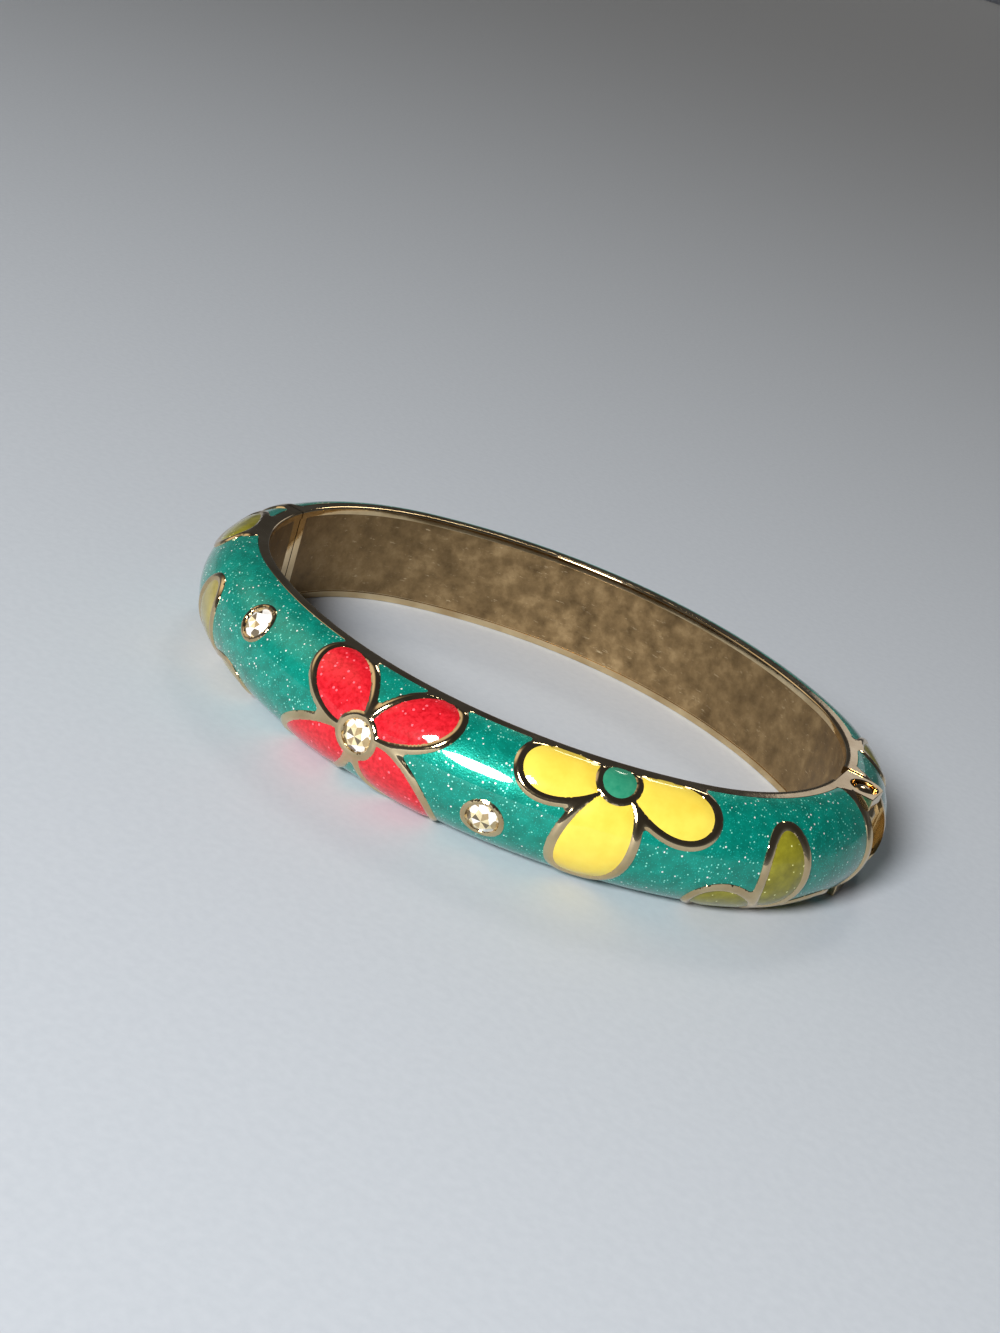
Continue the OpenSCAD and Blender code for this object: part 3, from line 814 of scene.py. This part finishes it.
# %% Turn the pin
PIN_RADIUS, PIN_LENGTH, PIN_DROP = 0.8, 9.4, 0.1
HEAD_RADIUS, HEAD_DEPTH, DOME_FOOT, DOME_HEIGHT = 0.95, 0.4, 0.5, 0.53
HEAD_MIDDLE = MIDDLE + EAR_TOP - HEAD_DEPTH
clear_bench()
bpy.ops.mesh.primitive_cylinder_add(vertices=64, radius=PIN_RADIUS, depth=PIN_LENGTH,
                                    location=(PIN_X, PIN_Y, MIDDLE - PIN_DROP))
pin = bpy.context.object
bpy.ops.object.transform_apply(location=True, rotation=True, scale=True)
bpy.ops.mesh.primitive_cylinder_add(vertices=64, radius=HEAD_RADIUS, depth=HEAD_DEPTH,
                                    location=(PIN_X, PIN_Y, HEAD_MIDDLE))
head = bpy.context.object
bpy.ops.object.transform_apply(location=True, rotation=True, scale=True)
pick(head, lambda point: point.z > HEAD_MIDDLE)
for ring in range(8):
    bpy.ops.mesh.inset(thickness=0.1)
bpy.ops.object.mode_set(mode="OBJECT")
for vertex in head.data.vertices:
    away = math.hypot(vertex.co.x - PIN_X, vertex.co.y - PIN_Y)
    if vertex.co.z > HEAD_MIDDLE:
        bulge = math.sqrt(max(0.0, 1 - (away / (HEAD_RADIUS + 0.01)) ** 2))
        vertex.co.z = MIDDLE + EAR_TOP - DOME_FOOT + DOME_HEIGHT * bulge
join(pin, head)
finish_piece(pin, "pin", "front_half", GOLD, ["hinge_pin"], 50)

# %% [markdown]
# ## Inner plates and the tongue
# The wrist side is closed by a plain plate in each half, dull and scuffed from
# wear. It is a flat strip carried round the oval. The tongue is a plain strip
# with broken edges.

# %% Sweep the plates
PLATE_HALF, PLATE_FACE, PLATE_BACK, PLATE_SHORT = 4.4, 0.12, 0.7, 1.05


def inner_plate(name, body, rear, node):
    """A plate from end wall to end wall of one half."""
    rows = [(PLATE_FACE, -PLATE_HALF + 2 * PLATE_HALF * i / 16) for i in range(17)]
    back = [(PLATE_BACK, PLATE_HALF), (PLATE_BACK, -PLATE_HALF)]
    piece = sweep_half(profile_ring(name, rows + back), rear, step_mm=0.8)
    saw_ends(piece, rear, PLATE_SHORT)
    finish_piece(piece, name, body, WORN, [node])


inner_plate("front_lining_plate", "front_half", False, "front_inner_plate")
inner_plate("back_lining_plate", "rear_half", True, "rear_inner_plate")

# %% Make the tongue
clear_bench()
bpy.ops.mesh.primitive_cube_add(size=1.0)
tongue = bpy.context.object
bpy.ops.transform.resize(value=TONGUE_SIZE)
bpy.ops.transform.translate(value=(TONGUE_X, -1.82, MIDDLE))
bpy.ops.object.transform_apply(location=True, rotation=True, scale=True)
break_edges(tongue, 0.15)
finish_piece(tongue, "clasp_strip", "rear_half", GOLD, ["clasp_tongue"])

# %% [markdown]
# ## Green ground
# The green enamel fills everything between the outlines, level with the dome.
# It is one thin strip of dome carried round each half. The outlines stand
# through it, it is pressed down below each petal, and it is bored out where a
# stone sits.

# %% Lay the ground enamel
GROUND_TOP, GROUND_BASE, GROUND_TILT, GROUND_SHORT = 0.045, -0.28, 79.2, 0.5
PRESSED, PRESS_REACH, STONE_BORE, STONE_SUNK = -0.2, 0.2, 1.62, 0.16


def ground_strip(name, rear, names):
    """A strip of enamel round one half, pressed down under its petals."""
    outer = dome_points(GROUND_TOP, -GROUND_TILT, GROUND_TILT, 96)
    inner = dome_points(GROUND_BASE, GROUND_TILT, -GROUND_TILT, 24)
    piece = sweep_half(profile_ring(name, outer + inner), rear, step_mm=0.5)
    for vertex in piece.data.vertices:
        s, v, height = to_pattern(vertex.co)
        pressed = any(egg_distance(p, s, v) < PRESS_REACH for p in near(s, names))
        if height > 0 and pressed:
            vertex.co = on_band(s, v, PRESSED)
    saw_ends(piece, rear, GROUND_SHORT)
    return piece


def stand_on_band(piece, place, sunk=0.0):
    """Turns an upright piece square to the dome and sets it at a place."""
    foot = on_band(place[0], place[1], 0.0)
    normal = (on_band(place[0], place[1], 1.0) - foot).normalized()
    turn = normal.to_track_quat("Z", "Y").to_matrix().to_4x4()
    piece.data.transform(Matrix.Translation(foot - normal * sunk) @ turn)
    return piece


front_ground = ground_strip("front_ground", False, FRONT_PETALS)
plugs = [stand_on_band(round_tool((0.0, 0.0), STONE_BORE, -2.0, 2.0), place)
         for place in STONES.values()]
bore(front_ground, join(*plugs))
finish_piece(front_ground, "green_ground_front", "front_half", GREEN, [
    "green_ground_left", "green_ground_right", "green_ground_notch", "green_ground_wedge"])
back_ground = ground_strip("back_ground", True, ["hinge_leaf"])
finish_piece(back_ground, "green_ground_back", "rear_half", GREEN,
             ["green_ground_rear"])

# %% [markdown]
# ## Petals
# Each petal's enamel is a pool: level with the metal at its edge and slightly
# crowned in the middle. A disc of triangles is the natural start, because its
# edge can be pressed into an egg and its rings follow the crown. Where the
# petal meets the flower's heart or the rim, the pool dives under the metal.

# %% Pour the petals
OVERLAP, EDGE_LAP, TUCK, POOL_DEPTH = 0.1, 0.12, 0.04, 0.25
RIM_SNAP, HEART_SNAP = 0.13, 0.15
POOL_EDGE, CROWN, CROWN_WIDTH, DIVE = 0.10, 0.11, 1.1, 2.5


def below_rim(v):
    """Height above the enamel that stays just under the flat of the rim."""
    return (MIDDLE - 0.012) / max(0.1, math.sin(abs(v) / DOME_RADIUS)) - DOME_RADIUS


def petal_pool(name):
    """A disc pressed into a petal's egg, crowned, and dipped under the metal.
    Points close to the rim or the heart are moved on to it, for a clean edge."""
    petal = PETALS[name]
    petal_s, petal_v, angle, length, width, full, heart = petal
    clear_bench()
    bpy.ops.mesh.primitive_circle_add(vertices=32, radius=1.0, fill_type="TRIFAN")
    piece = bpy.context.object
    bpy.ops.object.mode_set(mode="EDIT")
    bpy.ops.mesh.select_all(action="SELECT")
    bpy.ops.mesh.subdivide(number_cuts=15)
    bpy.ops.mesh.extrude_region_move(TRANSFORM_OT_translate={"value": (0, 0, -1.0)})
    bpy.ops.object.mode_set(mode="OBJECT")
    c, d = math.cos(math.radians(angle)), math.sin(math.radians(angle))
    for vertex in piece.data.vertices:
        x, y = vertex.co.x, vertex.co.y
        along = (length + OVERLAP) * x
        across = (width + OVERLAP) * y * (1 + full * x)
        s, v = petal_s + along * c - across * d, petal_v + along * d + across * c
        room = RIM - abs(v)
        if abs(room) < RIM_SNAP:
            v, room = math.copysign(RIM + TUCK, v), -TUCK
        if heart:
            heart_s, heart_v = heart
            away = math.hypot(s - heart_s, v - heart_v)
            if abs(away - HEART_ROOM) < HEART_SNAP:
                pull = (HEART_ROOM - TUCK) / away
                s, v = heart_s + (s - heart_s) * pull, heart_v + (v - heart_v) * pull
                away = HEART_ROOM - TUCK
            room = min(room, away - HEART_ROOM)
        edge = -egg_distance(petal, s, v)
        rise = max(0.0, min(1.0, min(edge, room) / CROWN_WIDTH))
        dive = min(0.0, edge + EDGE_LAP, room + TUCK)
        height = POOL_EDGE + CROWN * (1 - (1 - rise) ** 2) + DIVE * dive
        height = max(min(height, below_rim(v)), -POOL_DEPTH)
        vertex.co = on_band(s, v, height + POOL_DEPTH * vertex.co.z)
    face_outwards(piece)
    return piece


COLOURS = {"red": (RED, "red_enamel"), "yellow": (YELLOW, "yellow_enamel"),
           "olive": (OLIVE, "olive_enamel"), "mustard": (MUSTARD, "mustard_enamel"),
           "clasp": (OLIVE, "olive_enamel"), "hinge": (OLIVE, "olive_enamel")}
for name in PETALS:
    finish, slot = COLOURS[name.split("_")[0]]
    body = "rear_half" if name == "hinge_leaf" else "front_half"
    finish_piece(petal_pool(name), name + "_pool", body, finish, [name], 50)

# %% Pour the yellow flower's round centre
BUTTON_RADIUS, BUTTON_CROWN = 1.6, 0.2
clear_bench()
bpy.ops.mesh.primitive_circle_add(vertices=96, radius=1.0, fill_type="TRIFAN")
button = bpy.context.object
bpy.ops.object.mode_set(mode="EDIT")
bpy.ops.mesh.select_all(action="SELECT")
bpy.ops.mesh.subdivide(number_cuts=7)
bpy.ops.object.mode_set(mode="OBJECT")
for vertex in button.data.vertices:
    away = math.hypot(vertex.co.x, vertex.co.y)
    rise = POOL_EDGE + BUTTON_CROWN * (1 - away ** 2)
    vertex.co = on_band(YELLOW_HEART[0] + BUTTON_RADIUS * vertex.co.x,
                        YELLOW_HEART[1] + BUTTON_RADIUS * vertex.co.y, rise)
wall = button.modifiers.new("depth", "SOLIDIFY")
wall.thickness, wall.offset = 0.3, -1.0
apply_modifiers(button)
face_outwards(button)
finish_piece(button, "green_button", "front_half", PALE_GREEN,
             ["green_centre"], 50)

# %% [markdown]
# ## Stones
# A round stone is cut facet by facet on a wheel, and bisect does the same: it
# saws off everything beyond a plane and closes the cut. Eight main facets,
# sixteen small ones at the girdle and eight round the table make the crown. The
# light and shade that a cut stone throws back are painted on: each facet gets a
# flat painted tone of its own, bright, warm or shaded, and the table is split
# into a star of painted tones for the facets below it.

# %% Cut one stone
STONE_RADIUS, TABLE_HEIGHT = 1.45, 0.44


def saw_facets(piece, count, slope, radius, height, turn=0.0):
    """Cuts count facets that slope from the vertical and pass a point on the rim."""
    for i in range(count):
        around = 2 * math.pi * (i + turn) / count
        lean = math.radians(slope)
        normal = (math.sin(lean) * math.cos(around), math.sin(lean) * math.sin(around),
                  math.cos(lean) if height >= 0 else -math.cos(lean))
        place = (radius * math.cos(around), radius * math.sin(around), height)
        cut_flat(piece, place, normal)


clear_bench()
bpy.ops.mesh.primitive_cylinder_add(vertices=48, radius=STONE_RADIUS, depth=1.5,
                                    location=(0, 0, -0.3))
stone = bpy.context.object
bpy.ops.object.transform_apply(location=True, rotation=True, scale=True)
saw_facets(stone, 8, 36, 1.42, 0.02)
saw_facets(stone, 16, 44, 1.435, 0.02, 0.5)
saw_facets(stone, 8, 22, 0.98, 0.35, 0.5)
saw_facets(stone, 8, 44, 1.42, -0.1)
saw_facets(stone, 8, 28, 0.75, -0.72, 0.5)
cut_flat(stone, (0, 0, TABLE_HEIGHT), (0, 0, 1))
for face in stone.data.polygons:
    face.select = face.normal.z > 0.999
bpy.ops.object.mode_set(mode="EDIT")
bpy.ops.mesh.select_mode(type="FACE")
bpy.ops.mesh.poke()
bpy.ops.mesh.select_mode(type="VERT")
bpy.ops.object.mode_set(mode="OBJECT")
print("stone cut to", len(stone.data.polygons), "facets")

# %% Dress the stones and set them
def painted_facet_finish(name, colour, metal):
    """A facet with one even painted tone of light or shade, under the gloss of cut glass.
    """
    finish, nodes, links, shader, place = new_finish(name)
    tone = noise(nodes, links, place, 0.5, 2.0)
    edge = tuple(0.82 * c for c in colour)
    links.new(ramp(nodes, links, tone, [(0.35, edge), (0.6, colour)]),
              shader.inputs["Base Color"])
    shader.inputs["Metallic"].default_value = metal
    shader.inputs["Roughness"].default_value = 0.16
    shader.inputs["Coat Weight"].default_value = 1.0
    shader.inputs["Coat Roughness"].default_value = 0.03
    return finish


# painted light and shade: each facet gets a flat bright, cream, golden or shaded tone for
# the light it throws back
PAINTED_FACETS = [painted_facet_finish("white_painted_light_facet", (0.98, 0.97, 0.95), 0.0),
          painted_facet_finish("cream_painted_light_facet", (0.92, 0.78, 0.46), 0.25),
          painted_facet_finish("golden_painted_light_facet", (0.66, 0.48, 0.24), 0.6),
          painted_facet_finish("shaded_facet", (0.26, 0.20, 0.12), 0.7)]
# which of the four painted tones each facet takes, for a clear stone and a warm one
WHITE_MIX = [0, 1, 0, 0, 3, 0, 2, 0, 0, 1]
WARM_MIX = [1, 0, 2, 1, 3, 1, 0, 2, 1, 0, 3]
for name, place in STONES.items():
    piece = stone.copy()
    piece.data = stone.data.copy()
    bpy.context.scene.collection.objects.link(piece)
    stand_on_band(piece, place, STONE_SUNK)
    finish_piece(piece, name.replace("crystal", "stone"), "front_half", PAINTED_FACETS[0],
                 [name], 1)
    for finish in PAINTED_FACETS[1:]:
        piece.data.materials.append(finish)
    mix = WHITE_MIX if name == "crystal_left" else WARM_MIX
    for index, face in enumerate(piece.data.polygons):
        face.material_index = mix[index * 7 % len(mix)]
bpy.data.objects.remove(stone, do_unlink=True)

# %% [markdown]
# ## Floor and light
# The bangle lies on a plain pale floor with its far edge turned up, so that no
# dark gap shows behind it. One lamp behind the camera and to its left makes the
# long highlight on the flowers' side. A small one behind draws the thin bright
# line along the rim, and a dim card behind greys the hinge's ears. The room is
# pale only near the floor and dark above, which gives polished metal its deep
# brown lines, and a soft glow high on the left shows in the left end's gloss.

# %% Lay the floor
clear_bench()
bpy.ops.mesh.primitive_plane_add(size=60.0, location=(0, 0, 0))
floor = bpy.context.object
floor.name = "floor"
for edge in floor.data.edges:
    edge.select = all(floor.data.vertices[i].co.y > 0 for i in edge.vertices)
for vertex in floor.data.vertices:
    vertex.select = vertex.co.y > 0
for face in floor.data.polygons:
    face.select = False
bpy.ops.object.mode_set(mode="EDIT")
bpy.ops.mesh.extrude_region_move(TRANSFORM_OT_translate={"value": (0, 2, 5)})
bpy.ops.object.mode_set(mode="OBJECT")
paper, nodes, links, shader, place = new_finish("pale_floor")
tone = noise(nodes, links, place, 0.8, 2.0)
colour = ramp(nodes, links, tone, [(0.3, (0.56, 0.615, 0.69)), (0.7, (0.59, 0.645, 0.72))])
links.new(colour, shader.inputs["Base Color"])
shader.inputs["Roughness"].default_value = 0.75
floor.data.materials.append(paper)
print("floor laid")


# %% Hang the lamps
def aim(light, place):
    """Hangs a lamp and points it at the bangle's middle."""
    bpy.context.scene.collection.objects.link(light)
    light.location = place
    light.rotation_mode = "QUATERNION"
    light.rotation_quaternion = (-Vector(place)).to_track_quat("-Z", "Y")


def soft_box(name, place, size, power, colour):
    """A round lamp close by, so its light falls off across the bangle."""
    data = bpy.data.lights.new(name, "AREA")
    data.shape, data.size = "DISK", size
    data.energy, data.color = power, colour
    aim(bpy.data.objects.new(name, data), place)


def lamp(name, direction, across, strength, colour):
    """A far lamp that looks so many degrees across from the bangle."""
    data = bpy.data.lights.new(name, "SUN")
    data.energy, data.angle, data.color = strength, math.radians(across), colour
    aim(bpy.data.objects.new(name, data), direction)


soft_box("key_lamp", (-0.020, -0.545, 0.317), 0.19, 5.3, (1.0, 0.98, 0.95))
lamp("rim_lamp", (-0.20, 0.70, 0.68), 12, 0.35, (1.0, 0.93, 0.80))
lamp("back_card", (-0.05, 0.926, 0.375), 18, 0.05, (0.92, 0.92, 1.0))
print("three lamps hung")

# %% Light the room
world = bpy.data.worlds.new("room")
bpy.context.scene.world = world
world.use_nodes = True
nodes, links = world.node_tree.nodes, world.node_tree.links
place = nodes.new("ShaderNodeTexCoord")
height = nodes.new("ShaderNodeSeparateXYZ")
links.new(place.outputs["Generated"], height.inputs["Vector"])
glow = ramp(nodes, links, height.outputs["Z"], [
    (0.0, (0.20, 0.23, 0.27)), (0.13, (0.10, 0.11, 0.13)), (0.32, (0.055, 0.058, 0.065)),
    (0.65, (0.04, 0.04, 0.045))])
towards = nodes.new("ShaderNodeVectorMath")
towards.operation = "DOT_PRODUCT"
towards.inputs[1].default_value = (-0.79, -0.13, 0.60)
links.new(place.outputs["Generated"], towards.inputs[0])
patch = ramp(nodes, links, towards.outputs["Value"], [
    (0.82, (0.0, 0.0, 0.0)), (0.91, (0.11, 0.09, 0.065)), (0.99, (0.95, 0.80, 0.60))])
both = nodes.new("ShaderNodeMix")
both.data_type, both.blend_type = "RGBA", "ADD"
both.inputs["Factor"].default_value = 1.0
links.new(glow, both.inputs[6])  # sockets 6 and 7 are the two colours
links.new(patch, both.inputs[7])
links.new(both.outputs[2], nodes["Background"].inputs["Color"])
nodes["Background"].inputs["Strength"].default_value = 1.0
print("room lit")
